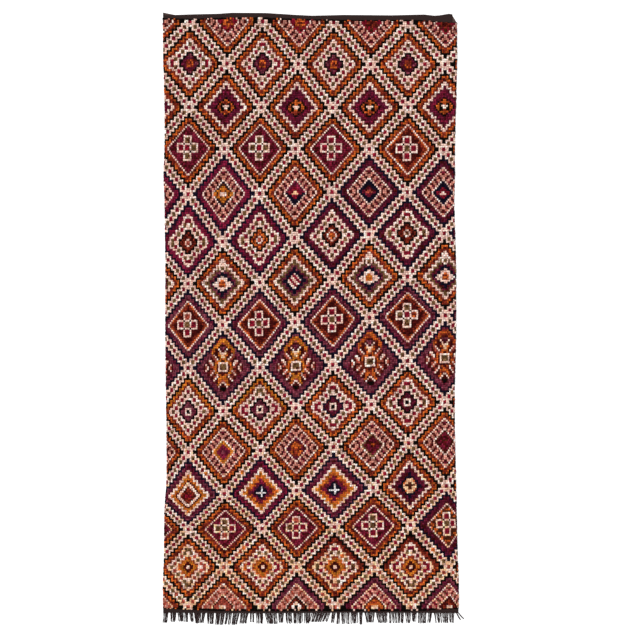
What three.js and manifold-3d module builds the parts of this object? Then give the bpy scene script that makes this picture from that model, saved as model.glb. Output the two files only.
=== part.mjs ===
// A hand-knotted wool rug, lying flat: one cloth with its knotted pile and a dark flat-woven
// band at each end, and the warp fringe along its lower end. Sizes are in millimetres.
// X runs across the rug, +Y up its length towards the plain end, +Z out of the pile.
import * as THREE from "three";
import { mergeVertices } from "three/addons/utils/BufferGeometryUtils.js";
import Module from "manifold-3d";

// Thicknesses
const PILE_THICKNESS = 12;
const BAND_THICKNESS = 4;
const RIM_SHARE = { height: 0.62, unevenness: 0.1 }; // the pile at the very edge, as shares of its thickness
const PILE_STEP = 5; // how far the pile takes to rise from the woven band

// The two sides of the cloth: distance up the rug from its lower edge, and where each side lies
const SIDES = [
  { up: 0, left: -757, right: 765 },
  { up: 137, left: -759, right: 767 },
  { up: 266, left: -753, right: 761 },
  { up: 523, left: -751, right: 755 },
  { up: 678, left: -739, right: 752 },
  { up: 935, left: -740, right: 746 },
  { up: 1141, left: -743, right: 745 },
  { up: 1450, left: -746, right: 753 },
  { up: 1811, left: -746, right: 752 },
  { up: 2120, left: -750, right: 742 },
  { up: 2249, left: -756, right: 747 },
  { up: 2429, left: -749, right: 746 },
  { up: 2635, left: -750, right: 753 },
  { up: 2841, left: -757, right: 758 },
  { up: 3047, left: -759, right: 757 },
  { up: 3078, left: -759, right: 734 },
];

// The upper edge of the cloth, with a drawn-out corner at its left end
const TOP_EDGE = [
  { across: -759, up: 3090 },
  { across: -747, up: 3073 },
  { across: -603, up: 3078 },
  { across: -469, up: 3081 },
  { across: -404, up: 3086 },
  { across: -227, up: 3085 },
  { across: -72, up: 3075 },
  { across: 10, up: 3071 },
  { across: 175, up: 3075 },
  { across: 422, up: 3073 },
  { across: 587, up: 3077 },
  { across: 651, up: 3070 },
  { across: 716, up: 3081 },
  { across: 734, up: 3078 },
];

// Where the pile stops under the upper woven band
const PILE_END = [
  { across: -757, up: 3059 },
  { across: -617, up: 3054 },
  { across: -505, up: 3059 },
  { across: -283, up: 3063 },
  { across: -50, up: 3054 },
  { across: 257, up: 3047 },
  { across: 551, up: 3049 },
  { across: 731, up: 3034 },
  { across: 757, up: 3038 },
];

// Where the pile starts above the lower woven band
const PILE_START = [
  { across: -757, up: 16 },
  { across: -600, up: 11 },
  { across: -480, up: 5 },
  { across: 550, up: 4 },
  { across: 644, up: 11 },
  { across: 765, up: 15 },
];

// Lumps in the pile: long soft swells, and a rougher unevenness from tuft to tuft
const SWELLS = [
  { height: 0.7, across: 93, up: 117, phase: 0.4 },
  { height: 0.6, across: 57, up: 71, phase: 2.1 },
  { height: 0.5, across: 41, up: 39, phase: 4.0 },
];
const TUFT_LUMP = 1.1;
const RIM_LOCK = 4.5; // how far the locks of pile at the sides stand in or out
const EDGE_COLUMN = 12; // how far in from a side the pile reaches its full thickness

// The grid that the cloth's upper face is built on
const PILE_COLUMNS = 26;
const PILE_ROWS = 84;
const TOP_BAND_ROWS = 3;

// Fringe
const SEAM_GAP = 0.3; // between the cloth's lower edge and the fringe's strip
const STRIP_WIDTH = 8;
const HEM_WAVE = { height: 1.5, across: 190 };
const LOCK_ROOT = 3; // how far a lock's root reaches into the strip
const LOCK_HEIGHT = { root: 3.6, tip: 2 };
const LOCK_FILL = { root: 0.8, tip: 0.58 }; // a lock's width as a share of its room
const LOCK_CROWN = 0.6; // a lock's width on top as a share of its width on the floor
const LOCK_RINGS = 4;
const LOCK_LENGTHS = 5; // how much the locks of one cluster differ in length
const CLUSTER_BOW = 1.6;

// The scatter's own large odd numbers, and the row of it that each use reads
const SCATTER = { first: 12.9898, second: 78.233, spread: 43758.5453 };
const SCATTER_ROW = { leftRim: 1, rightRim: 2, bow: 5 };

// Clusters of the fringe from left to right: how many locks, the room that their roots and their
// tips take, and how far below the cloth the tips lie
const CLUSTERS = [
  { locks: 3, rootFrom: -757, rootTo: -730, tipFrom: -759, tipTo: -738, reach: 61 },
  { locks: 3, rootFrom: -722, rootTo: -690, tipFrom: -718, tipTo: -695, reach: 57 },
  { locks: 3, rootFrom: -686, rootTo: -653, tipFrom: -674, tipTo: -651, reach: 55 },
  { locks: 2, rootFrom: -647, rootTo: -628, tipFrom: -647, tipTo: -633, reach: 57 },
  { locks: 2, rootFrom: -626, rootTo: -604, tipFrom: -618, tipTo: -600, reach: 56 },
  { locks: 4, rootFrom: -600, rootTo: -561, tipFrom: -594, tipTo: -566, reach: 64 },
  { locks: 2, rootFrom: -557, rootTo: -537, tipFrom: -563, tipTo: -550, reach: 61 },
  { locks: 4, rootFrom: -533, rootTo: -494, tipFrom: -531, tipTo: -499, reach: 66 },
  { locks: 5, rootFrom: -487, rootTo: -438, tipFrom: -485, tipTo: -448, reach: 70 },
  { locks: 3, rootFrom: -435, rootTo: -402, tipFrom: -443, tipTo: -411, reach: 69 },
  { locks: 3, rootFrom: -397, rootTo: -361, tipFrom: -405, tipTo: -372, reach: 69 },
  { locks: 4, rootFrom: -358, rootTo: -314, tipFrom: -366, tipTo: -325, reach: 64 },
  { locks: 2, rootFrom: -311, rootTo: -287, tipFrom: -309, tipTo: -289, reach: 56 },
  { locks: 4, rootFrom: -283, rootTo: -242, tipFrom: -273, tipTo: -241, reach: 64 },
  { locks: 6, rootFrom: -237, rootTo: -170, tipFrom: -219, tipTo: -172, reach: 66 },
  { locks: 3, rootFrom: -165, rootTo: -134, tipFrom: -160, tipTo: -141, reach: 59 },
  { locks: 3, rootFrom: -127, rootTo: -94, tipFrom: -119, tipTo: -93, reach: 64 },
  { locks: 5, rootFrom: -89, rootTo: -37, tipFrom: -88, tipTo: -41, reach: 64 },
  { locks: 3, rootFrom: -32, rootTo: 5, tipFrom: -25, tipTo: -5, reach: 64 },
  { locks: 9, rootFrom: 9, rootTo: 108, tipFrom: -1, tipTo: 84, reach: 57 },
  { locks: 2, rootFrom: 112, rootTo: 134, tipFrom: 110, tipTo: 124, reach: 61 },
  { locks: 2, rootFrom: 137, rootTo: 155, tipFrom: 133, tipTo: 148, reach: 69 },
  { locks: 4, rootFrom: 159, rootTo: 206, tipFrom: 164, tipTo: 206, reach: 69 },
  { locks: 4, rootFrom: 210, rootTo: 248, tipFrom: 215, tipTo: 245, reach: 67 },
  { locks: 2, rootFrom: 252, rootTo: 273, tipFrom: 254, tipTo: 268, reach: 71 },
  { locks: 5, rootFrom: 277, rootTo: 335, tipFrom: 288, tipTo: 330, reach: 61 },
  { locks: 6, rootFrom: 339, rootTo: 401, tipFrom: 350, tipTo: 394, reach: 64 },
  { locks: 7, rootFrom: 404, rootTo: 484, tipFrom: 412, tipTo: 481, reach: 64 },
  { locks: 3, rootFrom: 487, rootTo: 520, tipFrom: 499, tipTo: 515, reach: 64 },
  { locks: 3, rootFrom: 523, rootTo: 551, tipFrom: 530, tipTo: 546, reach: 56 },
  { locks: 4, rootFrom: 556, rootTo: 602, tipFrom: 556, tipTo: 597, reach: 64 },
  { locks: 2, rootFrom: 608, rootTo: 631, tipFrom: 608, tipTo: 623, reach: 61 },
  { locks: 9, rootFrom: 636, rootTo: 745, tipFrom: 644, tipTo: 745, reach: 61 },
  { locks: 1, rootFrom: 749, rootTo: 757, tipFrom: 770, tipTo: 778, reach: 46 },
  { locks: 1, rootFrom: 758, rootTo: 765, tipFrom: 790, tipTo: 798, reach: 40 },
];

const wasm = await Module();
wasm.setup();

// The value of one column of a table at a place between its rows
function along(table, key, place, column) {
  if (place <= table[0][key]) return table[0][column];
  for (let i = 1; i < table.length; i++) {
    const low = table[i - 1];
    const high = table[i];
    if (place <= high[key]) {
      const share = (place - low[key]) / (high[key] - low[key]);
      return low[column] + share * (high[column] - low[column]);
    }
  }
  return table[table.length - 1][column];
}

// An even scatter from -1 to 1 that is the same each time
function scatter(i, j) {
  const wide = Math.sin(i * SCATTER.first + j * SCATTER.second) * SCATTER.spread;
  return 2 * (wide - Math.floor(wide)) - 1;
}

const mix = (from, to, share) => from + (to - from) * share;

// The height of the cloth's lower edge
const hemLine = (across) => HEM_WAVE.height * Math.sin(across / HEM_WAVE.across);

function sidesAt(up) {
  return { left: along(SIDES, "up", up, "left"), right: along(SIDES, "up", up, "right") };
}

// Shares of the width at which the columns stand: one close to each side, the rest even
function columnShares() {
  const width = SIDES[0].right - SIDES[0].left;
  const edge = EDGE_COLUMN / width;
  const shares = [0];
  for (let i = 0; i <= PILE_COLUMNS; i++) shares.push(mix(edge, 1 - edge, i / PILE_COLUMNS));
  shares.push(1);
  return shares;
}

// The rows of the cloth from its lower edge to its upper one. Each gives the height of a point
// across, the thickness there, and whether it is pile.
function clothRows() {
  const start = (across) => along(PILE_START, "across", across, "up");
  const end = (across) => along(PILE_END, "across", across, "up");
  const top = (across) => along(TOP_EDGE, "across", across, "up");
  const rows = [{ up: hemLine, nominal: 0, pile: false }];
  rows.push({ up: start, nominal: start(SIDES[0].left), pile: false });
  for (let i = 0; i <= PILE_ROWS; i++) {
    const share = i / PILE_ROWS;
    const up = (across) => mix(start(across) + PILE_STEP, end(across) - PILE_STEP, share);
    rows.push({ up, nominal: up(0), pile: true });
  }
  for (let i = 0; i <= TOP_BAND_ROWS; i++) {
    const up = (across) => mix(end(across), top(across), i / TOP_BAND_ROWS);
    rows.push({ up, nominal: up(SIDES[0].right), pile: false });
  }
  return rows;
}

// The pile's thickness at a grid point, lumpy inside and lower at the rim
function pileHeight(across, up, column, row, lastColumn) {
  if (column === 0 || column === lastColumn) {
    return PILE_THICKNESS * (RIM_SHARE.height + RIM_SHARE.unevenness * scatter(column, row));
  }
  let height = PILE_THICKNESS + TUFT_LUMP * scatter(column, row);
  for (const swell of SWELLS) {
    const wave = Math.sin(across / swell.across + swell.phase) * Math.sin(up / swell.up - swell.phase);
    height += swell.height * wave;
  }
  return height;
}

// A closed mesh from corner points and triangles
function closedGeometry(points, triangles) {
  const geometry = new THREE.BufferGeometry();
  geometry.setAttribute("position", new THREE.Float32BufferAttribute(points.flat(), 3));
  geometry.setIndex(triangles.flat());
  return geometry;
}

// The cloth: a lumpy upper face over a flat underside with the same uneven outline
function clothGeometry() {
  const shares = columnShares();
  const rows = clothRows();
  const lastColumn = shares.length - 1;
  const lastRow = rows.length - 1;
  const points = [];
  const triangles = [];
  rows.forEach((row, j) => {
    const sides = sidesAt(row.nominal);
    shares.forEach((share, i) => {
      let across = mix(sides.left, sides.right, share);
      const up = row.up(across);
      if (row.pile && i === 0) across += RIM_LOCK * scatter(SCATTER_ROW.leftRim, j);
      if (row.pile && i === lastColumn) across += RIM_LOCK * scatter(SCATTER_ROW.rightRim, j);
      const height = row.pile ? pileHeight(across, up, i, j, lastColumn) : BAND_THICKNESS;
      points.push([across, up, height]);
    });
  });
  const at = (i, j) => j * shares.length + i;
  for (let j = 0; j < lastRow; j++) {
    for (let i = 0; i < lastColumn; i++) {
      triangles.push([at(i, j), at(i + 1, j), at(i + 1, j + 1)]);
      triangles.push([at(i, j), at(i + 1, j + 1), at(i, j + 1)]);
    }
  }
  // The rim, anticlockwise as seen from above
  const rim = [];
  for (let i = 0; i < lastColumn; i++) rim.push(at(i, 0));
  for (let j = 0; j < lastRow; j++) rim.push(at(lastColumn, j));
  for (let i = lastColumn; i > 0; i--) rim.push(at(i, lastRow));
  for (let j = lastRow; j > 0; j--) rim.push(at(0, j));
  const below = points.length;
  rim.forEach((k) => points.push([points[k][0], points[k][1], 0]));
  rim.forEach((k, n) => {
    const next = (n + 1) % rim.length;
    triangles.push([k, below + n, below + next]);
    triangles.push([k, below + next, rim[next]]);
  });
  const contour = rim.map((k) => new THREE.Vector2(points[k][0], points[k][1]));
  for (const [a, b, c] of THREE.ShapeUtils.triangulateShape(contour, [])) {
    triangles.push([below + a, below + c, below + b]);
  }
  return closedGeometry(points, triangles);
}

// A closed body through rings of four points each, which turn right-handed about its run
function loftGeometry(rings) {
  const points = rings.flat();
  const triangles = [];
  for (let r = 0; r + 1 < rings.length; r++) {
    for (let k = 0; k < 4; k++) {
      const a = 4 * r + k;
      const b = 4 * r + ((k + 1) % 4);
      triangles.push([a, b, b + 4], [a, b + 4, a + 4]);
    }
  }
  const last = 4 * (rings.length - 1);
  triangles.push([0, 2, 1], [0, 3, 2]);
  triangles.push([last, last + 1, last + 2], [last, last + 2, last + 3]);
  return closedGeometry(points, triangles);
}

// One lock of the fringe, flat on the floor along its whole length
function lockGeometry(cluster, number, bow) {
  const { locks, rootFrom, rootTo, tipFrom, tipTo, reach } = cluster;
  const middle = (number + 0.5) / locks;
  const length = reach - LOCK_LENGTHS * Math.abs(scatter(rootFrom, number));
  const rings = [];
  for (let r = 0; r < LOCK_RINGS; r++) {
    const share = r / (LOCK_RINGS - 1);
    const down = mix(STRIP_WIDTH - LOCK_ROOT, length, share);
    const room = mix((rootTo - rootFrom) / locks, (tipTo - tipFrom) / locks, share);
    const half = (room * mix(LOCK_FILL.root, LOCK_FILL.tip, share)) / 2;
    const height = mix(LOCK_HEIGHT.root, LOCK_HEIGHT.tip, share);
    const centre = mix(mix(rootFrom, rootTo, middle), mix(tipFrom, tipTo, middle), share)
      + bow * Math.sin(Math.PI * share);
    const up = hemLine(mix(rootFrom, rootTo, middle)) - down;
    rings.push([
      [centre + half, up, 0],
      [centre + half * LOCK_CROWN, up, height],
      [centre - half * LOCK_CROWN, up, height],
      [centre - half, up, 0],
    ]);
  }
  return loftGeometry(rings);
}

// The narrow strip that holds the locks, a hair's breadth below the cloth's lower edge
function stripGeometry() {
  const sides = sidesAt(0);
  const rings = columnShares().map((share) => {
    const across = mix(sides.left, sides.right, share);
    const top = hemLine(across) - SEAM_GAP;
    return [
      [across, top, 0],
      [across, top, BAND_THICKNESS],
      [across, top - STRIP_WIDTH, BAND_THICKNESS],
      [across, top - STRIP_WIDTH, 0],
    ];
  });
  return loftGeometry(rings);
}

function toSolid(geometry) {
  const merged = mergeVertices(geometry);
  return new wasm.Manifold(new wasm.Mesh({
    numProp: 3,
    vertProperties: merged.attributes.position.array,
    triVerts: new Uint32Array(merged.index.array),
  }));
}

function toGeometry(solid) {
  const { vertProperties, triVerts } = solid.getMesh();
  const geometry = new THREE.BufferGeometry();
  geometry.setAttribute("position", new THREE.BufferAttribute(vertProperties, 3));
  geometry.setIndex(new THREE.BufferAttribute(triVerts, 1));
  return geometry;
}

function fringeGeometry() {
  let fringe = toSolid(stripGeometry());
  CLUSTERS.forEach((cluster, k) => {
    const bow = cluster.locks > 1 ? CLUSTER_BOW * scatter(k, SCATTER_ROW.bow) : 0;
    for (let number = 0; number < cluster.locks; number++) {
      fringe = fringe.add(toSolid(lockGeometry(cluster, number, bow)));
    }
  });
  return toGeometry(fringe);
}

const pileWool = new THREE.MeshStandardMaterial({ color: 0x7a3323, roughness: 0.95, metalness: 0 });
const darkWool = new THREE.MeshStandardMaterial({ color: 0x2a2022, roughness: 0.9, metalness: 0 });

function piece(name, geometry, material) {
  geometry.computeVertexNormals();
  const mesh = new THREE.Mesh(geometry, material);
  mesh.name = name;
  return mesh;
}

const rug = new THREE.Group();
rug.add(piece("rug_cloth", clothGeometry(), pileWool));
rug.add(piece("fringe", fringeGeometry(), darkWool));

// The origin is at the middle of the footprint, on the floor
const middle = new THREE.Box3().setFromObject(rug).getCenter(new THREE.Vector3());
rug.position.set(-middle.x, -middle.y, 0);

export default rug;
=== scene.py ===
import bpy
import numpy as np
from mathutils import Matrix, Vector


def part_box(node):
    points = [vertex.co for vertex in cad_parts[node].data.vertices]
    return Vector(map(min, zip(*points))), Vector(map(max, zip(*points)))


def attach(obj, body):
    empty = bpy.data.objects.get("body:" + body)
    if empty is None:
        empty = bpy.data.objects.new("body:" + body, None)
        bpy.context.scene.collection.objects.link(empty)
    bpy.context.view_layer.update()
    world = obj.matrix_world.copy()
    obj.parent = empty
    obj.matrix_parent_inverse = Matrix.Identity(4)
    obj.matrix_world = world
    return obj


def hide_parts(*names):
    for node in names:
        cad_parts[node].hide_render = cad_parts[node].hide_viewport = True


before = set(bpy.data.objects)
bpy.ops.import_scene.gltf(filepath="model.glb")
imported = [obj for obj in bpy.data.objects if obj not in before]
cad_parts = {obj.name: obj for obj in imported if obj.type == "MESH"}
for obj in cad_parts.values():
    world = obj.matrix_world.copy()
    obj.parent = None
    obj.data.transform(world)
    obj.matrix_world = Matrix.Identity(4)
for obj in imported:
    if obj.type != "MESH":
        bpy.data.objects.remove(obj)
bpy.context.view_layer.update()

# The looks of a hand-knotted wool rug. Its knots are charted first, a letter for each yarn, and
# each knot is then a tuft of pile. Rug sizes are in millimetres, Blender's in metres.
MM = 0.001
SEED = 41

# The fringe's right end and the cloth's top, across and up from the zero point of the rug's sizes
FRINGE_RIGHT = 796.32
CLOTH_TOP = 3090.0
ZERO_POINT = (
    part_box("fringe")[1][0] - FRINGE_RIGHT * MM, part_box("rug_cloth")[1][1] - CLOTH_TOP * MM, 0,
)

# Thicknesses and heights above the floor
PILE_THICKNESS = 12.0
BAND_THICKNESS = 4.0
BAND_LOW = 0.2
WEB_LOW = 0.6
WEB_HIGH = 2.4

# The two sides of the cloth: distance up the rug, left side, right side
SIDES = np.array([
    (0, -757, 765), (137, -759, 767), (266, -753, 761), (523, -751, 755), (678, -739, 752),
    (935, -740, 746), (1141, -743, 745), (1450, -746, 753), (1811, -746, 752), (2120, -750, 742),
    (2249, -756, 747), (2429, -749, 746), (2635, -750, 753), (2841, -757, 758), (3047, -759, 757),
    (3078, -759, 734),
], float)

# The upper edge of the cloth, and where the pile ends and starts: across, up
TOP_EDGE = np.array([
    (-759, 3090), (-747, 3073), (-603, 3078), (-469, 3081), (-404, 3086), (-227, 3085), (-72, 3075),
    (10, 3071), (175, 3075), (422, 3073), (587, 3077), (651, 3070), (716, 3081), (734, 3078),
], float)
PILE_END = np.array([
    (-757, 3059), (-617, 3054), (-505, 3059), (-283, 3063), (-50, 3054), (257, 3047), (551, 3049),
    (731, 3034), (757, 3038),
], float)
PILE_START = np.array([
    (-757, 16), (-600, 11), (-480, 5), (550, 4), (644, 11), (765, 15),
], float)

# Long soft swells of the pile: height, length across, length up, phase
SWELLS = ((0.7, 93, 117, 0.4), (0.6, 57, 71, 2.1), (0.5, 41, 39, 4.0))

# The pile: how far its tips lie below its thickness and how uneven they are, how far all of it leans
# up the rug and how much each tuft strays from that
TIP_SINK = 0.8
TIP_RAG = 1.3
PILE_LEAN = -2.0
LEAN_SPREAD = 1.8

# A tuft: four corners on the floor, four where it is widest, and its tip
TUFT_FACES = np.array([
    0, 3, 2, 1,
    0, 1, 5, 4, 1, 2, 6, 5, 2, 3, 7, 6, 3, 0, 4, 7,
    4, 5, 8, 5, 6, 8, 6, 7, 8, 7, 4, 8,
])
TUFT_COUNTS = np.array([4] * 5 + [3] * 4)
TUFT_POINTS = 9

# Its foot and belly against the room of the knot, how uneven they are, how high the belly is
# against the tip, and how much of the tip's lean it takes
TUFT_FOOT = 0.94
TUFT_BELLY = 1.08
TUFT_RAG = 0.14
TUFT_SHOULDER = 0.78
TUFT_BEND = 0.6

# Painted shade on each tuft: the share of its yarn's colour given to its foot, its belly and its tip,
# darker towards the foot where the tufts shade each other, and the brightest that any of it may be
TUFT_PAINTED_SHADE = (0.25, 0.72, 1.0)
BRIGHTEST = 0.84

# The most tufts in a piece
MOST_TUFTS = 14000

# The web: the knots from one of its corners to the next, how far it stays inside the cloth's sides
# and lower end and inside its top, and how far its top reaches
WEB_STEP = 8
WEB_INSET = 2
WEB_TOP_INSET = 3
WEB_TOP_ENDS = (-757, 732)

# The flat-woven bands: where they start and end across, their ribs, how far they run in under the
# pile, how deep and uneven the ribs are, and how far each pick of the weave stands up or down
TOP_BAND_ENDS = (-758, 734)
LOW_BAND_ENDS = (-757, 765)
BAND_STEPS = 260
TOP_RIBS, LOW_RIBS, STRIP_RIBS = 5, 3, 2
BAND_TUCK = 4
RIB_DEPTH = 1.1
RIB_RAG = 0.25
RIB_BEAT = 0.35

# The fringe: a narrow strip just below the cloth, and strands twisted into yarns, two to a lock
SEAM_GAP = 0.3
STRIP_WIDTH = 8.0
HEM_WAVE = (1.5, 190)
YARNS = 2
STRANDS = 5
STRAND_RINGS = 7

# A yarn's radius, how far its tip strays and how much shorter it may be than its cluster's reach
YARN_RADIUS = 1.5
YARN_STRAY = 4.5
YARN_SHORTER = 4

# A strand: its radius and the share of it lost at the tip, how far inside the strip it starts, how
# much shorter than its yarn it may be, its bow sideways, its turn about the yarn in radians, how
# far it frays, its height, and how far it rises and sinks and the share of that lost at the tip
STRAND_RADIUS = 0.9
STRAND_TAPER = 0.3
STRAND_START = 3
STRAND_SHORTER = 3
STRAND_BOW = 1.6
STRAND_TURNS = (5, 9)
STRAND_FRAY = 1.2
STRAND_HEIGHT = 1.8
STRAND_RISE = 0.8
STRAND_SETTLE = 0.5

# Clusters of locks, each: locks, the room of their roots (from, to) and of their tips (from, to),
# and their reach below the cloth
CLUSTERS = (
    (3, -757, -730, -759, -738, 61), (3, -722, -690, -718, -695, 57), (3, -686, -653, -674, -651, 55),
    (2, -647, -628, -647, -633, 57), (2, -626, -604, -618, -600, 56), (4, -600, -561, -594, -566, 64),
    (2, -557, -537, -563, -550, 61), (4, -533, -494, -531, -499, 66), (5, -487, -438, -485, -448, 70),
    (3, -435, -402, -443, -411, 69), (3, -397, -361, -405, -372, 69), (4, -358, -314, -366, -325, 64),
    (2, -311, -287, -309, -289, 56), (4, -283, -242, -273, -241, 64), (6, -237, -170, -219, -172, 66),
    (3, -165, -134, -160, -141, 59), (3, -127, -94, -119, -93, 64), (5, -89, -37, -88, -41, 64),
    (3, -32, 5, -25, -5, 64), (9, 9, 108, -1, 84, 57), (2, 112, 134, 110, 124, 61),
    (2, 137, 155, 133, 148, 69), (4, 159, 206, 164, 206, 69), (4, 210, 248, 215, 245, 67),
    (2, 252, 273, 254, 268, 71), (5, 277, 335, 288, 330, 61), (6, 339, 401, 350, 394, 64),
    (7, 404, 484, 412, 481, 64), (3, 487, 520, 499, 515, 64), (3, 523, 551, 530, 546, 56),
    (4, 556, 602, 556, 597, 64), (2, 608, 631, 608, 623, 61), (9, 636, 745, 644, 745, 61),
    (1, 749, 757, 770, 778, 46), (1, 758, 765, 790, 798, 40),
)

# The tufts of the outermost columns are worn lower
EDGE_SHARES = ((0, 0.72), (1, 0.92), (-2, 0.92), (-1, 0.72))

# The ivory turns creamy down these rows, up to this share of its knots
CREAM_ROWS = (200, 300)
CREAM_SHARE = 0.45

# How far the hue of a knot strays, red, green and blue
HUE_SPREAD = (0.0, 0.07, 0.1)

# The share of the knots next to the dark end bands that are dark too
DARK_ENDS = 0.7

# How far one knot's colour strays from the next
TONE_SPREAD = 0.32

# How far a knot is nudged off its place, as a share of its room
NUDGE = 0.08

# How much of the colour of its four neighbours a knot has taken up
BLEED = 0.06

# Where the spread of a chance in a bell curve is cut off
FARTHEST = 2

# How often a knot is tied with the same length of yarn as the one before
RUN_ON = 0.5

# Colours of the web, the bands and the fringe from 0 to 255, and how much paler its palest strands are
WEB_COLOUR = (60, 44, 40)
BAND_COLOUR = (34, 20, 18)
FRINGE_COLOUR = (40, 30, 30)
FRINGE_PALER = 1.5

# Finishes of the pile and of what is woven flat, with their strands to a metre along each axis, how
# detailed these are, and where on them the darker and the lighter shade lie. Then those shades, as
# shares of the wool's own colour, and the depth of the bump in metres.
PILE_FINISH = {
    "roughness": 0.95, "gloss": 0.04, "bump": 0.6, "strands": (900, 500, 160), "detail": 3,
    "stops": (0.35, 0.65),
}
WOVEN_FINISH = {
    "roughness": 0.9, "gloss": 0.2, "bump": 0.4, "strands": (220, 220, 220), "detail": 2,
    "stops": (0, 1),
}
PILE_STREAKS = ((0.55, 0.5, 0.5), (1.12, 1.12, 1.12))
WOVEN_SHARES = (0.6, 1.5)
BUMP_DEPTH = 0.001

# The flat layout that the finishes can be baked on: the rug from above, leaned a little so that
# upright faces have some room
BAKE_CORNER = (-800, -90)
BAKE_SPAN = (1650, 3250)
BAKE_LEAN = 0.00002

# Floor, light and camera, in metres and radians
FLOOR_SIZE = 120
FLOOR_DROP = 0.0002
FLOOR_COLOUR = (0.82, 0.82, 0.82)
SKY_STRENGTH = 0.54
SUN_STRENGTH = 3.8
SUN_SPREAD = 0.5
SUN_TURN = (-0.45, -0.4, 0)
CAMERA_LENS = 85
CAMERA_SENSOR = 36
CAMERA_PLACE = (0.0343, -0.0078, 7.794)

# The lattice of diamonds. Its nodes are HALF knots apart both ways, and every second one is the
# centre of a diamond. The chart's columns and rows count knots from the node above its left edge.
HALF = 22
LEFT_COLUMN = 7
RIGHT_COLUMN = 183
TOP_ROW = -2
BOTTOM_ROW = 310

# A dot of the borders is this many knots wide and high, as are rungs, streaks and stripes
DOT = 2

# Figures in a diamond, in knots from its middle: the dots at the tips of the ring, counted in dots,
# the least core inside the ring, and the thin points of the zigzags
RING_TIP = 5
CORE_REACH = 6
SPIKE_FROM, SPIKE_TO = 12, 13

# The ring's broader dots: where they start, and half the width and the end of rim and dot
TIP_START = 9
TIP_RIM = (3, 12)
TIP_DOT = (2, 11)

# Outlines of the boxes that make a cross, the ladders' lines, and how their second yarn is mixed in
BOX_NEAR, BOX_FAR = 2, 6
LADDER_OUTER, LADDER_INNER = 13, 7
SCATTER_RUN, SCATTER_TOTAL, SCATTER_CYCLE, SCATTER_HITS = 5, 3, 7, 2

# Where the tips of a dark field are cut off
FIELD_WIDE, FIELD_HIGH = 8, 9

# Centres of the diamonds, row by row from the top: across, up
CENTRES = (
    ((-422, 3042), (-48, 3038), (319, 3035), (700, 3032)),
    ((-618, 2826), (-245, 2823), (121, 2820), (505, 2820)),
    ((-433, 2599), (-72, 2596), (306, 2596), (693, 2601)),
    ((-628, 2386), (-258, 2386), (113, 2385), (505, 2382)),
    ((-448, 2151), (-77, 2158), (304, 2166), (685, 2156)),
    ((-628, 1898), (-260, 1914), (113, 1939), (500, 1950)),
    ((-453, 1690), (-82, 1703), (304, 1723), (700, 1728)),
    ((-628, 1473), (-258, 1481), (118, 1502), (505, 1527)),
    ((-448, 1255), (-72, 1260), (309, 1283), (695, 1301)),
    ((-628, 1028), (-258, 1041), (118, 1056), (500, 1079)),
    ((-448, 822), (-72, 840), (324, 858), (695, 879)),
    ((-628, 593), (-252, 616), (124, 631), (515, 647)),
    ((-433, 425), (-67, 431), (330, 441), (711, 451)),
    ((-628, 230), (-242, 230), (129, 230), (520, 230)),
    ((-453, 24), (-72, 24), (335, 24), (721, 24)),
)

# The yarns: the material slot that each takes its finish from, and its colour from 0 to 255
SHADES = {
    "I": ("ivory_wool", (247, 206, 190)),
    "W": ("ivory_wool", (236, 228, 226)),
    "E": ("ivory_wool", (242, 190, 148)),
    "C": ("crimson_wool", (122, 18, 37)),
    "F": ("crimson_wool", (106, 22, 42)),
    "S": ("crimson_wool", (156, 68, 54)),
    "L": ("crimson_wool", (198, 130, 114)),
    "O": ("olive_wool", (107, 78, 48)),
    "G": ("orange_wool", (190, 90, 35)),
    "Y": ("orange_wool", (188, 108, 34)),
    "R": ("rust_wool", (120, 40, 25)),
    "D": ("rust_wool", (66, 13, 11)),
    "B": ("rust_wool", (72, 31, 16)),
    "P": ("purple_wool", (88, 20, 41)),
    "M": ("purple_wool", (118, 24, 51)),
    "V": ("purple_wool", (112, 50, 62)),
    "N": ("navy_wool", (17, 12, 29)),
    "K": ("black_wool", (11, 6, 4)),
}

# The yarn is spun uneven: the share of its knots that take another shade
MIXED = {
    "G": ("R", 0.34), "Y": ("G", 0.3), "R": ("D", 0.3), "F": ("D", 0.3), "P": ("D", 0.25),
    "M": ("P", 0.35), "V": ("P", 0.35), "O": ("B", 0.2),
}

# Small figures, charted a knot at a time: the row of the first line, counted down from the
# diamond's middle, and its knots from the middle to the right, which are mirrored to the left. A
# digit stands for a yarn that the diamond names, and a dot leaves what is there.
MOTIFS = {
    "flower": (-2, "000", "000", "D00", "0001", "0.1", "1..1", "1"),
    "square": (-5, "1", "1", ".", "00", "R0.11", "R0.11", "00", ".", "1", "1"),
    "bar": (-5, "1", "01", "0001", "01101", "II1001", "I11001", "01101", "0001", "01", "1"),
    "star": (-5, "1", "01", "001", "01001", "II0100", "II0100", "01001", "001", "01", "1"),
    "glow": (-3, "0", "00", "1000", "1100", "00", "0"),
    "eye": (-4, ".D", ".", "ID", "0I.D", "0I.D", "ID", ".", ".D"),
    "plus": (-4, "I", "III", "0II", "00III", "00IIII", "00III", "III", "I"),
    "bulb": (-11, "I", "II", "OI", "OI", "I"),
    "spray": (
        -15, "00", "000", "1000", "DD000", "VVD000", "VDIDD00", "DIDDD00", "IE0DDD0", "E00DDIS",
        "E0DDISS", "00DISSD", "D000SDDII", "III00DIISD", "22ID0DISDDI", "22ID00SSDIS",
        "22ID00DDDIS", "IIID0ISSDDI", "DDD00SISD", "D00IDDSI", "00DISSD", "000DISD", "100DDI",
        "I10DD", "DI00", "DDI", "KK", "K",
    ),
    "stack": (-4, "0", "00", "0000", "010", "111", "0100", "000", "00"),
    "dash": (-1, "00", "1"),
    "burst": (-3, "0", "00", "I00", "I00", "00", "0"),
    "lantern": (-3, "0", "00", "100", "100", "000"),
    "disc": (-4, "00", "002", "1002", "1110", "1000", "1002", "002", "00"),
}

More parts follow.
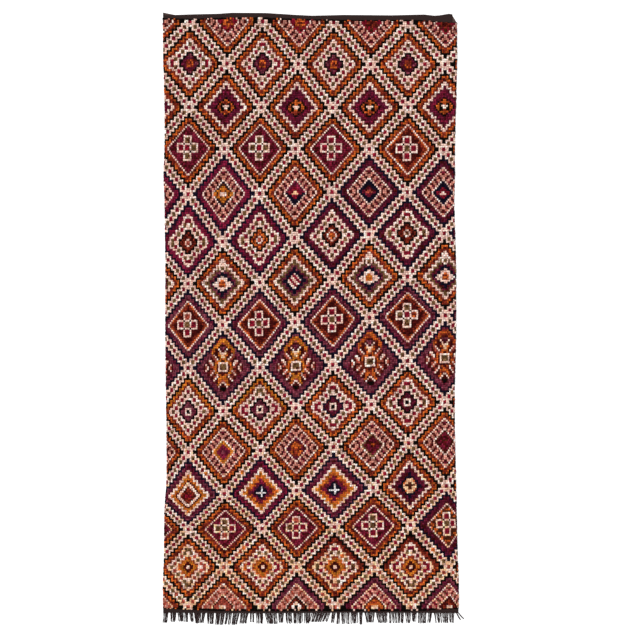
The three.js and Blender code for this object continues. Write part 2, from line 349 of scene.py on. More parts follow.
# Figures that several diamonds share
LADDER = ("ladder", "DF")
EYE_BOX = (("box", 2, 2, "I"), ("box", 1, 1, "K"))
LINE = ("line", 13, "I")
STREAKS = (LINE, ("fill", 12, "G"), ("fill", 11, "R"), ("fill", 9, "D"))

# A line for a diamond: its yarns from the dotted border inwards, the last of which fills the rest,
# then its figures
DIAMONDS = (
    (
        ("IKGRC", LADDER, ("flower", "GR")),
        ("IKGRC", LADDER, ("flower", "GR")),
        ("IKGRC", LADDER, ("flower", "RB")),
        ("IKGRC", LADDER, ("flower", "RB")),
    ),
    (
        ("IKGRI", ("ring", "OC", "KPP"), ("tips", "..CC"), ("square", "GV")),
        ("IKGRI", ("ring", "CO", "KPP"), ("tips", "C..C"), ("square", "GV")),
        ("IKGRI", ("ring", "OC", "KPP"), ("square", "GV")),
        ("IKGRI", ("ring", "OC", "KPP"), ("square", "GV")),
    ),
    4 * (("IKGRIPMP", ("spike", "I"), ("bar", "GK")),),
    (
        ("IKGRF", LINE, ("boxes", "OOCOC")),
        ("IKGRF", LINE, ("boxes", "OOOOC")),
        ("IKGRF", LINE, ("boxes", "CCCCO")),
        ("IKGRD", *STREAKS, ("boxes", "CCCCO")),
    ),
    (
        ("INMMP", LADDER, ("fill", 6, "N"), ("star", "YB")),
        ("IKGRR", LADDER, ("fill", 6, "N"), ("swap", 6, "NM"), ("glow", "CE")),
        ("INPPP", LADDER, ("fill", 6, "N"), ("glow", "FS")),
        ("INPPM", LADDER, ("fill", 6, "N"), ("glow", "CI")),
    ),
    (
        ("INMMI", ("ring", "CO", "KRG"), ("tips", "CCOO"), ("eye", "S")),
        ("INMPI", ("ring", "CO", "KGG"), ("tips", "CCOO"), ("eye", "S")),
        ("INPPI", ("ring", "OC", "KRG"), ("line", 3, "I")),
        ("INPPI", ("ring", "CO", "KRR"), ("tips", "CCOO"), ("eye", "O")),
    ),
    (
        ("IKGRIOVN", ("spike", "I"), ("bulb", ""), ("plus", "G")),
        ("IKGRIOVN", ("spike", "I"), ("stripes", 4, "IC")),
        ("IKGRIOVN", ("spike", "I"), ("bulb", ""), ("plus", "Y")),
        ("IKGRIOPN", ("spike", "I"), ("bulb", ""), ("plus", "G")),
    ),
    (
        ("INVVP", *STREAKS, ("boxes", "SCCCO")),
        ("INVPP", *STREAKS, ("boxes", "CCCCO")),
        ("INVPP", *STREAKS, ("boxes", "CCCCO")),
        ("INVPP", *STREAKS, ("boxes", "OOOGC")),
    ),
    (
        ("INVVD", ("spray", "YSO")),
        ("INVVD", ("spray", "YSO")),
        ("INVVD", ("spray", "GRO")),
        ("INVVD", ("spray", "GRO")),
    ),
    (
        ("IKGRI", ("swap", 20, "GY"), ("ring", "CO", "KVV"), *EYE_BOX),
        ("IKGRI", ("swap", 20, "GY"), ("ring", "CO", "KVV"), ("tips", "O.CC"), *EYE_BOX),
        ("IKGRI", ("ring", "CO", "NPP"), ("tips", "CCCC"), *EYE_BOX),
        ("IKGRI", ("ring", "CO", "KPP"), ("tips", "CCOO"), *EYE_BOX),
    ),
    (
        ("IKGRR", LADDER, ("fill", 6, "Y"), ("fill", 4, "M"), ("box", 1, 1, "V")),
        ("IKGRR", LADDER, ("fill", 6, "P"), ("stack", "GR")),
        ("IKGRR", LADDER, ("fill", 6, "O"), ("fill", 5, "F"), ("dash", "GR")),
        ("IKGRR", LADDER, ("fill", 6, "B"), ("fill", 5, "F"), ("dash", "BC")),
    ),
    (
        ("INVPIYGG", ("spike", "I"), ("fill", 8, "D"), ("fill", 7, "I"), ("fill", 5, "R"),
         ("box", 2, 1, "C")),
        ("INMPIYGMP", ("spike", "I"), ("fill", 4, "N"), ("cross", 3, "W")),
        ("INVPIYGMP", ("spike", "I"), ("fill", 4, "N"), ("cross", 3, "W")),
        ("IKGRIPPN", ("spike", "I"), ("disc", "EBG")),
    ),
    (
        ("IKGRF", ("line", 12, "I"), ("boxes", "OSOCO")),
        ("IKGRF", ("line", 12, "I"), ("boxes", "SCOCC")),
        ("IKGRF", ("line", 12, "I"), ("boxes", "OCCCO")),
        ("INPPP", ("line", 12, "I"), ("streak", 8, 11, "GB"), ("field", 8, "B"), ("boxes", "CCCCO")),
    ),
    (
        ("IKGRI", ("ring", "SO", "GYG"), ("tips", "OO.S"), ("burst", "D")),
        ("IKGRI", ("ring", "CO", "GYG"), ("tips", "..GC"), ("burst", "D")),
        ("IKGRI", ("swap", 20, "GR"), ("ring", "CO", "GYG"), ("tips", "CSOO"),
         ("spot", -4, -6, "G"), ("spot", 4, -6, "G"), ("burst", "D")),
        ("IKGRI", ("swap", 20, "GR"), ("ring", "CO", "RYG"), ("tips", "COCC"),
         ("spot", -6, -4, "G"), ("spot", 6, -4, "G"), ("burst", "D")),
    ),
    (
        ("IKGRR", ("ladder", "SR"), ("fill", 6, "D"), ("fill", 5, "S"), ("box", 2, 1, "I")),
        ("IKVVD", ("ladder", "SR"), ("fill", 6, "K"), ("fill", 5, "R"), ("lantern", "IK")),
        ("IKVPD", ("ladder", "CR"), ("fill", 6, "D"), ("fill", 5, "G"), ("box", 2, 1, "I")),
        ("IKVPD", ("ladder", "CO"), ("fill", 6, "D"), ("fill", 4, "R"), ("box", 2, 1, "I")),
    ),
)

# Rows of diamonds whose lower right (R) or lower left (L) borders turn their dots' order round
TURNED = {4: "R", 5: "L", 6: "R", 7: "LR", 8: "LR", 9: "L", 10: "R"}

# Odd dots of a diamond's border: its row and place in it, dots across and down from it, and a yarn
ODD_DOTS = (
    (3, 1, -9, 2, "G"), (3, 3, -9, 2, "G"), (4, 0, 2, -9, "G"), (4, 0, -8, -4, "G"),
    (4, 2, 2, -9, "G"), (10, 0, -6, 5, "Y"), (10, 0, 5, 5, "Y"), (12, 3, -5, 6, "G"),
    (13, 1, -10, -2, "G"), (13, 1, -8, -4, "S"), (13, 1, -7, -5, "G"), (13, 1, -6, -6, "G"),
    (13, 2, 8, -3, "G"),
)

# From here down the crimson dots are a paler red
PALE_ROW = 282

random = np.random.default_rng(SEED)


def linear(colour):
    """The linear value of an sRGB colour given from 0 to 255"""
    share = np.asarray(colour, float) / 255
    return np.where(share <= 0.04045, share / 12.92, ((share + 0.055) / 1.055) ** 2.4)


def stray(size=None):
    """Even chances from -1 to 1"""
    return random.uniform(-1, 1, size)


def bell(size):
    """Chances about 0 in a bell curve, cut off at both ends"""
    return random.normal(0, 1, size).clip(-FARTHEST, FARTHEST)


def spread(seeds, reach):
    """How far each place is from the nearest seed, counting a diagonal step as one"""
    distance = np.where(seeds, 0, reach)
    for step in range(1, reach):
        near = np.pad(distance < step, 1)
        height, width = distance.shape
        grown = np.zeros_like(seeds)
        for down in range(3):
            for over in range(3):
                grown |= near[down:down + height, over:over + width]
        distance = np.where(grown & (distance == reach), step, distance)
    return distance


# Each diamond is painted on its own square of knots, whose middle lies between four knots
OFFSET = np.arange(-HALF, HALF) + 0.5
OVER, DOWN = np.meshgrid(OFFSET, OFFSET)
SIDE, RISE = np.abs(OVER), np.abs(DOWN)
TOTAL = (SIDE + RISE).astype(int)
AXIS = np.minimum(SIDE, RISE) < 1

# How far each knot is from the dots of the border, from the dots of the ring inside it, and from
# whatever lies outside the ring's core
BORDER = spread(np.floor(SIDE / DOT) + np.floor(RISE / DOT) == HALF // DOT - 1, HALF)
RING_CELL = np.ceil((SIDE - 0.5) / DOT) + np.ceil((RISE - 0.5) / DOT)
RING = spread(RING_CELL == RING_TIP, HALF)
RING_CORE = ((RING > 1) & (RING_CELL <= RING_TIP)) | (TOTAL <= CORE_REACH)
CORE = spread(~RING_CORE, HALF)


def paint_fill(chart, reach, yarn):
    """All knots up to a stepped distance from the middle"""
    chart[TOTAL <= reach] = yarn


def paint_line(chart, reach, yarn):
    """A diagonal line at that distance, one knot thick"""
    chart[TOTAL == reach] = yarn


def paint_box(chart, wide, high, yarn):
    """A box about the middle, by half its width and half its height"""
    chart[(SIDE < wide) & (RISE < high)] = yarn


def paint_spot(chart, over, down, yarn):
    """A dot of two knots by two"""
    chart[(np.abs(OVER - over) < 1) & (np.abs(DOWN - down) < 1)] = yarn


def paint_cross(chart, reach, yarn):
    """A thin upright cross"""
    chart[(OVER == 0.5) & (RISE < reach)] = yarn
    chart[(DOWN == 0.5) & (SIDE < reach)] = yarn


def paint_spike(chart, yarn):
    """A thin point at each tip of a zigzag line"""
    chart[(TOTAL >= SPIKE_FROM) & (TOTAL <= SPIKE_TO) & AXIS] = yarn


def paint_swap(chart, reach, yarns):
    """One yarn for another in the upper part"""
    chart[(DOWN < 0) & (TOTAL <= reach) & (chart == yarns[0])] = yarns[1]


def paint_streak(chart, low, high, yarns):
    """Short streaks of two yarns across a diagonal band"""
    among = (TOTAL >= low) & (TOTAL <= high)
    odd = np.floor((SIDE - RISE) / DOT) % 2 == 1
    chart[among] = yarns[0]
    chart[among & odd] = yarns[1]


def paint_field(chart, reach, yarn):
    """A dark field with its tips cut off"""
    chart[(TOTAL <= reach) & (SIDE < FIELD_WIDE) & (RISE < FIELD_HIGH)] = yarn


def paint_stripes(chart, reach, yarns):
    """Slanting stripes of two yarns"""
    slope = (OVER - DOWN) % (2 * DOT) < DOT
    chart[(TOTAL <= reach) & slope] = yarns[0]
    chart[(TOTAL <= reach) & ~slope] = yarns[1]


def paint_ring(chart, yarns, core):
    """A smaller dotted diamond inside the border, round a core"""
    chart[RING == 1] = "I"
    level = np.ceil((RISE - 0.5) / DOT).astype(int)
    for odd, yarn in enumerate(yarns):
        chart[(RING == 0) & (level % 2 == 1 - odd)] = yarn
    for distance, yarn in enumerate(core, 1):
        chart[CORE >= distance] = yarn
    chart[(CORE == 1) & (TOTAL < CORE_REACH)] = core[1]
    paint_spike(chart, "I")


def paint_tips(chart, yarns):
    """Broader dots at the ring's top, foot, left and right"""
    tips = (
        (DOWN < 0, SIDE, RISE), (DOWN > 0, SIDE, RISE), (OVER < 0, RISE, SIDE), (OVER > 0, RISE, SIDE),
    )
    for (half, along, out), yarn in zip(tips, yarns):
        if yarn == ".":
            continue
        for (wide, end), letter in ((TIP_RIM, "I"), (TIP_DOT, yarn)):
            chart[half & (along < wide) & (out > TIP_START) & (out < end)] = letter


def paint_boxes(chart, yarns):
    """Five outlined boxes set as a cross about one knot: top, foot, left, right and middle"""
    over, down = np.abs(OVER + 0.5), np.abs(DOWN + 0.5)
    chart[(over <= BOX_NEAR) & (down <= BOX_FAR)] = "I"
    chart[(over <= BOX_FAR) & (down <= BOX_NEAR)] = "I"
    chart[(over == BOX_NEAR) & (down == BOX_NEAR)] = "K"
    far_down = (over < BOX_NEAR) & (down > BOX_NEAR) & (down < BOX_FAR)
    far_over = (down < BOX_NEAR) & (over > BOX_NEAR) & (over < BOX_FAR)
    boxes = (
        far_down & (DOWN < 0), far_down & (DOWN > 0), far_over & (OVER < 0), far_over & (OVER > 0),
        (over < BOX_NEAR) & (down < BOX_NEAR),
    )
    for box, yarn in zip(boxes, yarns):
        chart[box] = yarn


def paint_ladder(chart, yarns):
    """Two fine ivory lines joined by pale rungs, with two yarns mixed between the rungs"""
    run = np.floor((SIDE - RISE) / DOT).astype(int)
    among = (TOTAL <= LADDER_OUTER) & (TOTAL >= LADDER_INNER)
    chart[among] = yarns[0]
    scatter = (run * SCATTER_RUN + TOTAL * SCATTER_TOTAL) % SCATTER_CYCLE < SCATTER_HITS
    chart[among & scatter] = yarns[1]
    chart[among & (run % 2 == 0)] = "L"
    chart[(TOTAL == LADDER_OUTER) | (TOTAL == LADDER_INNER)] = "I"


def paint_motif(chart, name, yarns):
    """A small figure of MOTIFS, mirrored about the upright middle line"""
    first, *lines = MOTIFS[name]
    for down, line in enumerate(lines, first):
        for over, letter in enumerate(line):
            if letter != ".":
                yarn = yarns[int(letter)] if letter.isdigit() else letter
                chart[HALF + down, [HALF + over, HALF - 1 - over]] = yarn


PAINTERS = {
    "fill": paint_fill,
    "line": paint_line,
    "box": paint_box,
    "spot": paint_spot,
    "cross": paint_cross,
    "spike": paint_spike,
    "swap": paint_swap,
    "streak": paint_streak,
    "field": paint_field,
    "stripes": paint_stripes,
    "ring": paint_ring,
    "tips": paint_tips,
    "boxes": paint_boxes,
    "ladder": paint_ladder,
}


def diamond_chart(row, place):
    """The yarns of one diamond. Past the ends of the table its last diamonds are repeated."""
    row = min(max(row, 0), len(DIAMONDS) - 1)
    place = min(max(place, 0), len(DIAMONDS[row]) - 1)
    bands, *figures = DIAMONDS[row][place]
    chart = np.full(OVER.shape, bands[-1])
    for distance, yarn in enumerate(bands[:-1], 1):
        chart[BORDER == distance] = yarn
    for name, *values in figures:
        if name in PAINTERS:
            PAINTERS[name](chart, *values)
        else:
            paint_motif(chart, name, *values)
    return chart


def border_dots(row):
    """The dots of one diamond's border, crimson and olive by turns"""
    level = np.floor((DOWN + HALF * row) / DOT)
    rising = OVER * DOWN > 0
    upper = DOWN < 0
    turn = np.zeros(OVER.shape, int)
    for strip, half in ((row - 1, upper), (row, ~upper)):
        turn += half & rising & ("R" in TURNED.get(strip, ""))
        turn += half & ~rising & ("L" in TURNED.get(strip, ""))
    dots = np.where((level + turn) % 2 == 0, "C", "O")
    dots[(DOWN + HALF * row > PALE_ROW) & (dots == "C")] = "S"
    return dots


def place_diamond(chart, row, column):
    """Put a diamond and its dotted border about its node of the lattice"""
    painted = diamond_chart(row, (column - 1) // 2)
    painted[BORDER == 0] = border_dots(row)[BORDER == 0]
    columns = np.arange(LEFT_COLUMN, RIGHT_COLUMN) - HALF * column
    rows = np.arange(TOP_ROW, BOTTOM_ROW) - HALF * row
    over, down = np.meshgrid(columns, rows)
    inside = np.abs(over + 0.5) + np.abs(down + 0.5) <= HALF
    chart[inside] = painted[down[inside] + HALF, over[inside] + HALF]


def place_node(chart, row, column):
    """Put one dot, with ivory about it, where four diamonds meet"""
    head, left = HALF * row - TOP_ROW, HALF * column - LEFT_COLUMN
    yarn = "S" if HALF * row > PALE_ROW else "C"
    for reach, letter in ((DOT, "I"), (DOT // 2, yarn)):
        rows = slice(max(head - reach, 0), max(head + reach, 0))
        columns = slice(max(left - reach, 0), max(left + reach, 0))
        chart[rows, columns] = letter


def rug_chart():
    """The yarn of every knot, rows from the top and columns from the left"""
    chart = np.full((BOTTOM_ROW - TOP_ROW, RIGHT_COLUMN - LEFT_COLUMN), "I")
    lattice_rows = range(-1, len(DIAMONDS) + 1)
    lattice_columns = range(-1, RIGHT_COLUMN // HALF + 2)
    nodes = [(row, column) for row in lattice_rows for column in lattice_columns]
    for row, column in nodes:
        if (row + column) % 2 == 0:
            place_diamond(chart, row, column)
    for row, column in nodes:
        if (row + column) % 2:
            place_node(chart, row, column)
    for row, place, over, down, yarn in ODD_DOTS:
        head = HALF * row + DOT * down - TOP_ROW
        left = HALF * (2 * place + 2 - row % 2) + DOT * over - LEFT_COLUMN
        chart[head:head + DOT, left:left + DOT] = yarn
    return chart


def node_tables():
    """Across and up for every node of the lattice, from the centres next to it"""
    count = len(CENTRES)
    nodes = np.arange(1, 2 * len(CENTRES[0]) + 1)
    across = np.full((count, len(nodes)), np.nan)
    up = np.zeros((count, len(nodes)))
    for row, centres in enumerate(CENTRES):
        own = nodes[(nodes + row) % 2 == 0]
        across[row, own - 1] = [centre[0] for centre in centres]
        up[row] = np.interp(nodes, own, [centre[1] for centre in centres])
    for row in range(count):
        for k in np.flatnonzero(np.isnan(across[row])):
            near = [across[r, k] for r in (row - 1, row + 1) if 0 <= r < count]
            near = [value for value in near if not np.isnan(value)]
            across[row, k] = np.mean(near)
    return nodes * HALF, across, up


def corner_grid():
    """Across and up for the corners between knots"""
    node_columns, node_across, node_up = node_tables()
    node_rows = np.arange(len(CENTRES)) * HALF
    columns = np.arange(LEFT_COLUMN, RIGHT_COLUMN + 1)
    rows = np.arange(TOP_ROW, BOTTOM_ROW + 1)
    edges = [LEFT_COLUMN, *node_columns, RIGHT_COLUMN]

    def row_across(across, left, right):
        return np.interp(columns, edges, [left, *across, right])

    top = row_across(node_across[0], *SIDES[-2, 1:])
    bottom = row_across(node_across[-1], *SIDES[0, 1:])
    controls = np.array([
        np.interp(top, *PILE_END.T),
        *[np.interp(columns, node_columns, line) for line in node_up],
        np.interp(bottom, *PILE_START.T),
    ])
    control_rows = [TOP_ROW, *node_rows, BOTTOM_ROW]
    up = np.array([np.interp(rows, control_rows, line) for line in controls.T]).T
    inner = np.array([np.interp(rows, node_rows, line) for line in node_across.T]).T
    left = np.interp(up[:, 0], SIDES[:, 0], SIDES[:, 1])
    right = np.interp(up[:, -1], SIDES[:, 0], SIDES[:, 2])
    across = np.array([row_across(*line) for line in zip(inner, left, right)])
    return across, up


def swell(across, up):
    """How high the pile's long soft swells lift it"""
    height = np.zeros_like(across)
    for tall, long_across, long_up, phase in SWELLS:
        height += tall * np.sin(across / long_across + phase) * np.sin(up / long_up - phase)
    return height


def hem_line(across):
    """Up for the cloth's lower edge"""
    wave, length = HEM_WAVE
    return wave * np.sin(across / length)


def mesh_piece(name, points, faces, counts, colours=None, smooth=True):
    """A mesh from arrays: corner points, the corners of its faces in one line, and faces' sizes"""
    mesh = bpy.data.meshes.new(name)
    mesh.vertices.add(len(points))
    mesh.vertices.foreach_set("co", np.ascontiguousarray(points * MM, dtype=np.float32).ravel())
    mesh.loops.add(len(faces))
    mesh.loops.foreach_set("vertex_index", np.ascontiguousarray(faces, dtype=np.int32))
    starts = np.concatenate([[0], np.cumsum(counts)[:-1]]).astype(np.int32)
    mesh.polygons.add(len(counts))
    mesh.polygons.foreach_set("loop_start", starts)
    mesh.polygons.foreach_set("use_smooth", np.full(len(counts), smooth))
    if colours is not None:
        # The corners' colours; for the pile these carry painted shade, darker towards each tuft's foot
        attribute = mesh.color_attributes.new("tone", "FLOAT_COLOR", "POINT")
        values = np.concatenate([colours, np.ones((len(colours), 1))], axis=1)
        attribute.data.foreach_set("color", values.astype(np.float32).ravel())
    mesh.update(calc_edges=True)
    flat = mesh.uv_layers.new(name="OFBake")
    spots = points[faces]
    uv = (spots[:, :2] - BAKE_CORNER) / BAKE_SPAN + BAKE_LEAN * spots[:, 2:]
    flat.data.foreach_set("uv", uv.astype(np.float32).ravel())
    mesh.validate()
    piece = bpy.data.objects.new(name, mesh)
    bpy.context.scene.collection.objects.link(piece)
    piece.location = ZERO_POINT
    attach(piece, "root")
    return piece


def woollen(name, finish, dark, light):
    """A matte material with a bump along its strands, their shades, and where its colour goes in"""
    material = bpy.data.materials.new(name)
    material.use_nodes = True
    nodes, links = material.node_tree.nodes, material.node_tree.links
    shader = nodes["Principled BSDF"]
    shader.inputs["Roughness"].default_value = finish["roughness"]
    shader.inputs["Specular IOR Level"].default_value = finish["gloss"]
    where = nodes.new("ShaderNodeTexCoord")
    stretch = nodes.new("ShaderNodeMapping")
    stretch.inputs["Scale"].default_value = finish["strands"]
    noise = nodes.new("ShaderNodeTexNoise")
    noise.inputs["Scale"].default_value = 1
    noise.inputs["Detail"].default_value = finish["detail"]
    ramp = nodes.new("ShaderNodeValToRGB")
    for stop, place, colour in zip(ramp.color_ramp.elements, finish["stops"], (dark, light)):
        stop.position = place
        stop.color = (*colour, 1)
    bump = nodes.new("ShaderNodeBump")
    bump.inputs["Strength"].default_value = finish["bump"]
    bump.inputs["Distance"].default_value = BUMP_DEPTH
    links.new(where.outputs["Object"], stretch.inputs["Vector"])
    links.new(stretch.outputs["Vector"], noise.inputs["Vector"])
    links.new(noise.outputs["Fac"], ramp.inputs["Fac"])
    links.new(noise.outputs["Fac"], bump.inputs["Height"])
    links.new(bump.outputs["Normal"], shader.inputs["Normal"])
    return material, ramp.outputs["Color"], shader.inputs["Base Color"]


def plain(name, colour):
    """Flat-woven wool of one colour, darker and lighter by its strands"""
    dark, light = [linear(colour) * share for share in WOVEN_SHARES]
    material, shades, base = woollen(name, WOVEN_FINISH, dark, light)
    material.node_tree.links.new(shades, base)
    return material


def wool(name):
    """Matte wool whose colour is taken from its corners, for the pile each knot's own with painted
    shade darker towards the tuft's foot, streaked by its strands
    """
    material, shades, base = woollen(name, PILE_FINISH, *PILE_STREAKS)
    nodes, links = material.node_tree.nodes, material.node_tree.links
    # The corners' colours, which for the pile hold painted shade
    tone = nodes.new("ShaderNodeVertexColor")
    tone.layer_name = "tone"
    mix = nodes.new("ShaderNodeMix")
    mix.data_type = "RGBA"
    mix.blend_type = "MULTIPLY"
    mix.inputs["Factor"].default_value = 1
    colours = [socket for socket in mix.inputs if socket.type == "RGBA"]
    result = [socket for socket in mix.outputs if socket.type == "RGBA"][0]
    links.new(tone.outputs["Color"], colours[0])
    links.new(shades, colours[1])
    links.new(result, base)
    return material


def tuft_mesh(across, up, half_wide, half_high, top, lean_across, lean_up):
    """Corner points, faces and faces' sizes of many tufts, all at once"""
    count = len(across)
    points = np.zeros((count, TUFT_POINTS, 3))
    for k, (side, end) in enumerate(((-1, -1), (1, -1), (1, 1), (-1, 1))):
        points[:, k, 0] = across + side * half_wide * TUFT_FOOT
        points[:, k, 1] = up + end * half_high * TUFT_FOOT
        wide = TUFT_BELLY + TUFT_RAG * stray((2, count))
        points[:, 4 + k, 0] = across + side * half_wide * wide[0] + lean_across * TUFT_BEND
        points[:, 4 + k, 1] = up + end * half_high * wide[1] + lean_up * TUFT_BEND
        points[:, 4 + k, 2] = top * (TUFT_SHOULDER + TUFT_RAG / 2 * stray(count))
    points[:, -1] = np.stack([across + lean_across, up + lean_up, top], 1)
    faces = (TUFT_FACES[None, :] + TUFT_POINTS * np.arange(count)[:, None]).ravel()
    return points.reshape(-1, 3), faces, np.tile(TUFT_COUNTS, count)


def parts_of(name, chosen):
    """A yarn's knots as one piece, or as two where one would have too many faces"""
    if chosen.sum() <= MOST_TUFTS:
        return [(name, chosen)]
    upper = chosen.copy()
    upper[len(chosen) // 2:] = False
    return [(name + "_upper", upper), (name + "_lower", chosen & ~upper)]


def knot_colours(chart):
    """The linear colour of every knot, of uneven yarn that has run a little into its neighbours"""
    tone = np.exp(TONE_SPREAD * bell(chart.shape))
    for row in (0, -1):
        chart[row, random.uniform(0, 1, chart.shape[1]) < DARK_ENDS] = "K"
    length = random.uniform(0, 1, chart.shape)
    runs_on = random.uniform(0, 1, length[:, 1:].shape) < RUN_ON
    length[:, 1:] = np.where(runs_on, length[:, :-1], length[:, 1:])
    colours = np.zeros(chart.shape + (3,))
    for letter, (slot, colour) in SHADES.items():
        colours[chart == letter] = colour
    for letter, (other, share) in MIXED.items():
        colours[(chart == letter) & (length < share)] = SHADES[other][1]
    creamy = np.interp(np.arange(len(chart)), CREAM_ROWS, (0, CREAM_SHARE))
    colours[(chart == "I") & (length > 1 - creamy[:, None])] = SHADES["E"][1]
    around = np.pad(colours, ((1, 1), (1, 1), (0, 0)), mode="edge")
    around = (around[:-2, 1:-1] + around[2:, 1:-1] + around[1:-1, :-2] + around[1:-1, 2:]) / 4
    colours = linear((1 - BLEED) * colours + BLEED * around) * tone[:, :, None]
    return colours * (1 + np.array(HUE_SPREAD) * bell(chart.shape)[:, :, None])


def tie_pile(chart, across, up):
    """A tuft of pile for each knot of the chart, joined by yarn into pieces"""
    middle_across = (across[:-1, :-1] + across[1:, 1:]) / 2
    middle_up = (up[:-1, :-1] + up[1:, 1:]) / 2
    half_wide = (across[:-1, 1:] - across[:-1, :-1]) / 2
    half_high = (up[:-1, :-1] - up[1:, :-1]) / 2
    shape = chart.shape
    top = PILE_THICKNESS + swell(middle_across, middle_up) - TIP_SINK + TIP_RAG * stray(shape)
    for column, share in EDGE_SHARES:
        top[:, column] *= share
    lean_across = LEAN_SPREAD * stray(shape)
    lean_up = PILE_LEAN + LEAN_SPREAD * stray(shape)
    colours = knot_colours(chart)
    middle_across += NUDGE * 2 * half_wide * stray(shape)
    middle_up += NUDGE * 2 * half_high * stray(shape)
    tufts = np.array([middle_across, middle_up, half_wide, half_high, top, lean_across, lean_up])
    # Painted shade: each tuft's corners are darkened towards its foot, where the tufts shade each
    # other
    painted_shade = np.repeat(TUFT_PAINTED_SHADE, (4, 4, 1))
    pieces = []
    for slot in sorted({slot for slot, colour in SHADES.values()}):
        letters = [letter for letter in SHADES if SHADES[letter][0] == slot]
        material = wool(slot)
        for name, part in parts_of(slot.replace("wool", "pile"), np.isin(chart, letters)):
            points, faces, counts = tuft_mesh(*tufts[:, part])
            # Each corner's colour is its knot's colour times that painted shade
            shades = (colours[part][:, None, :] * painted_shade[None, :, None]).reshape(-1, 3)
            piece = mesh_piece(name, points, faces, counts, np.minimum(shades, BRIGHTEST))
            piece.data.materials.append(material)
            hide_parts("rug_cloth")
            pieces.append(piece)
    return pieces


def weave_web(across, up):
    """The web that the knots are tied on, seen between their backs: a thin closed slab"""
    rows, columns = [np.append(np.arange(0, size - 1, WEB_STEP), size - 1) for size in across.shape]
    across, up = across[np.ix_(rows, columns)], up[np.ix_(rows, columns)]
    head = np.interp(across[0], *TOP_EDGE.T) - WEB_TOP_INSET
    hem = hem_line(across[-1]) + WEB_INSET
    across = np.vstack([across[0], across, across[-1]])
    up = np.vstack([head, up, hem])
    across[:, 0] += WEB_INSET
    across[:, -1] -= WEB_INSET
    across[0] = across[0].clip(*WEB_TOP_ENDS)
    height, width = across.shape
    layers = [np.stack([across, up, np.full_like(up, z)], 2) for z in (WEB_HIGH, WEB_LOW)]
    at = np.arange(height * width).reshape(height, width)
    upper = np.stack([at[1:, :-1], at[1:, 1:], at[:-1, 1:], at[:-1, :-1]], 2).reshape(-1, 4)
    lower = upper[:, ::-1] + height * width
    rim = np.concatenate([at[-1, :-1], at[:0:-1, -1], at[0, :0:-1], at[:-1, 0]])
    after = np.roll(rim, -1)
    wall = np.stack([rim, rim + height * width, after + height * width, after], 1)
    faces = np.concatenate([upper, lower, wall])
    points = np.array(layers).reshape(-1, 3)
    web = mesh_piece("web", points, faces.ravel(), np.full(len(faces), 4), smooth=False)
    web.data.materials.append(plain("foundation", WEB_COLOUR))
    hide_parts("rug_cloth")
    return web


def band(name, across, low, high, ribs, node):
    """A flat-woven band: ribs of weft side by side, drawn along the cloth's end"""
    lines = 2 * ribs + 1
    share = np.linspace(0, 1, lines)
    rib = np.where(np.arange(lines) % 2 == 1, BAND_THICKNESS, BAND_THICKNESS - RIB_DEPTH)
    line_up = low[:, None] + (high - low)[:, None] * share[None, :]
    pick = np.arange(len(across))[:, None] + np.arange(lines)[None, :] // 2
    height = rib[None, :] + RIB_RAG * stray(line_up.shape) + RIB_BEAT * (-1.0) ** pick
    upper = np.stack([np.repeat(across[:, None], lines, 1), line_up, height], 2)
    under_up = np.stack([high, low], 1)
    under = np.stack([np.repeat(across[:, None], 2, 1), under_up, np.full_like(under_up, BAND_LOW)], 2)
    ring = np.concatenate([upper, under], 1)
    size = ring.shape[1]
    points = ring.reshape(-1, 3)
    starts = np.arange(len(across) - 1)[:, None] * size
    here = starts + np.arange(size)[None, :]
    beside = starts + (np.arange(size)[None, :] + 1) % size
    faces = np.stack([here, here + size, beside + size, beside], 2).reshape(-1, 4)
    ends = [np.arange(size), np.arange(len(points) - size, len(points))[::-1]]
    corners = np.concatenate([faces.ravel(), *ends])
    counts = np.array([4] * len(faces) + [size, size])
    piece = mesh_piece(name, points, corners, counts)
    piece.data.materials.append(plain(name, BAND_COLOUR))
    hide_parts(node)
    return piece


def weave_bands():
    """The band at each end of the cloth, and the strip that holds the fringe's roots"""
    top = np.linspace(*TOP_BAND_ENDS, BAND_STEPS)
    low = np.linspace(*LOW_BAND_ENDS, BAND_STEPS)
    top_start = np.interp(top, *PILE_END.T) - BAND_TUCK
    low_end = np.interp(low, *PILE_START.T) + BAND_TUCK
    hem = hem_line(low)
    seam = hem - SEAM_GAP
    top_end = np.interp(top, *TOP_EDGE.T)
    return [
        band("top_band", top, top_start, top_end, TOP_RIBS, "rug_cloth"),
        band("low_band", low, hem, low_end, LOW_RIBS, "rug_cloth"),
        band("fringe_strip", low, seam - STRIP_WIDTH, seam, STRIP_RIBS, "fringe"),
    ]


def strand_line(root, tip, length, bow, turn):
    """The centre line of one strand, which winds round its yarn and frays towards the tip"""
    share = np.linspace(0, 1, STRAND_RINGS)
    turn = turn + share * random.uniform(*STRAND_TURNS)
    fray = 1 + STRAND_FRAY * share * stray()
    reach = length - STRAND_START - STRAND_SHORTER * random.uniform(0, 1)
    return np.stack([
        root + (tip - root) * share + bow * np.sin(np.pi * share) + YARN_RADIUS * fray * np.cos(turn),
        hem_line(root) - STRAND_START - reach * share,
        STRAND_HEIGHT + STRAND_RISE * np.sin(turn) * (1 - STRAND_SETTLE * share),
    ], 1)


def fringe_lines():
    """Centre lines of the fringe's strands, a few twisted together as each yarn"""
    lines = []
    for locks, root_from, root_to, tip_from, tip_to, reach in CLUSTERS:
        bow = STRAND_BOW * stray()
        for yarn in range(locks * YARNS):
            place = (yarn + 0.5) / (locks * YARNS)
            root = root_from + (root_to - root_from) * place
            tip = tip_from + (tip_to - tip_from) * place + YARN_STRAY * stray()
            length = reach - YARN_SHORTER * random.uniform(0, 1) ** 2
            for k in range(STRANDS):
                lines.append(strand_line(root, tip, length, bow, 2 * np.pi * k / STRANDS))
    return np.array(lines)


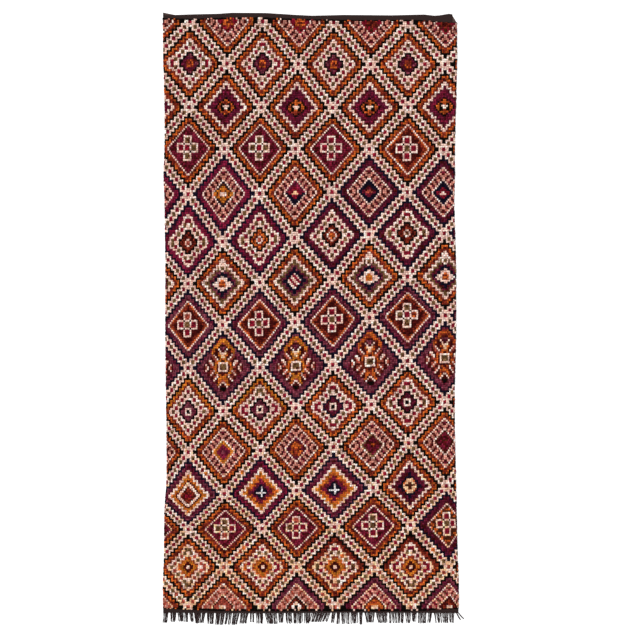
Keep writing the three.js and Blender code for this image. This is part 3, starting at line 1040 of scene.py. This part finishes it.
def strand_mesh(lines, widths):
    """Closed four-sided strands about centre lines, of one half width for each ring of corners"""
    count, rings = lines.shape[:2]
    points = np.zeros((count, rings, 4, 3))
    points[:] = lines[:, :, None, :]
    points[:, :, 0, 0] += widths
    points[:, :, 1, 2] += widths
    points[:, :, 2, 0] -= widths
    points[:, :, 3, 2] -= widths
    points[:, :, 3, 2] = np.maximum(points[:, :, 3, 2], 0)
    faces = []
    for ring in range(rings - 1):
        for k in range(4):
            here, beside = 4 * ring + k, 4 * ring + (k + 1) % 4
            faces += [here, here + 4, beside + 4, beside]
    last = 4 * (rings - 1)
    faces += [0, 1, 2, 3]
    faces += [last + 3, last + 2, last + 1, last]
    corners = (np.array(faces)[None, :] + 4 * rings * np.arange(count)[:, None]).ravel()
    return points.reshape(-1, 3), corners, np.full(len(corners) // 4, 4)


def hang_fringe():
    """The strands of the fringe, each of its own grey"""
    lines = fringe_lines()
    widths = STRAND_RADIUS * (1 - STRAND_TAPER * np.linspace(0, 1, STRAND_RINGS) ** 3)
    points, faces, counts = strand_mesh(lines, widths)
    grey = linear(FRINGE_COLOUR) * (1 + FRINGE_PALER * random.uniform(0, 1, len(lines))[:, None] ** 2)
    grey = np.repeat(grey, 4 * STRAND_RINGS, axis=0)
    strands = mesh_piece("fringe_strands", points, faces, counts, grey)
    strands.data.materials.append(wool("fringe_wool"))
    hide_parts("fringe")
    return strands


def lay_floor():
    """A plain pale floor, which isn't part of the rug"""
    bpy.ops.mesh.primitive_plane_add(size=FLOOR_SIZE, location=(0, 0, -FLOOR_DROP))
    floor = bpy.context.object
    floor.name = "floor"
    paper = bpy.data.materials.new("paper")
    paper.use_nodes = True
    paper.node_tree.nodes["Principled BSDF"].inputs["Base Color"].default_value = (*FLOOR_COLOUR, 1)
    floor.data.materials.append(paper)


def light_studio():
    """One soft sun and a plain white sky"""
    bpy.context.scene.view_settings.view_transform = "Standard"
    world = bpy.data.worlds.new("studio")
    bpy.context.scene.world = world
    world.use_nodes = True
    sky = world.node_tree.nodes["Background"]
    sky.inputs["Color"].default_value = (1, 1, 1, 1)
    sky.inputs["Strength"].default_value = SKY_STRENGTH
    light = bpy.data.lights.new("key", "SUN")
    light.energy = SUN_STRENGTH
    light.angle = SUN_SPREAD
    lamp = bpy.data.objects.new("key", light)
    lamp.rotation_euler = SUN_TURN
    bpy.context.scene.collection.objects.link(lamp)


def place_camera():
    """A camera straight above the rug"""
    camera = bpy.data.cameras.new("camera")
    camera.lens = CAMERA_LENS
    camera.sensor_width = CAMERA_SENSOR
    viewer = bpy.data.objects.new("camera", camera)
    viewer.location = CAMERA_PLACE
    bpy.context.scene.collection.objects.link(viewer)
    bpy.context.scene.camera = viewer


rug = rug_chart()
knots_across, knots_up = corner_grid()
pile = tie_pile(rug, knots_across, knots_up)
web = weave_web(knots_across, knots_up)
pieces = [*pile, *weave_bands(), hang_fringe()]

lay_floor()
light_studio()
place_camera()
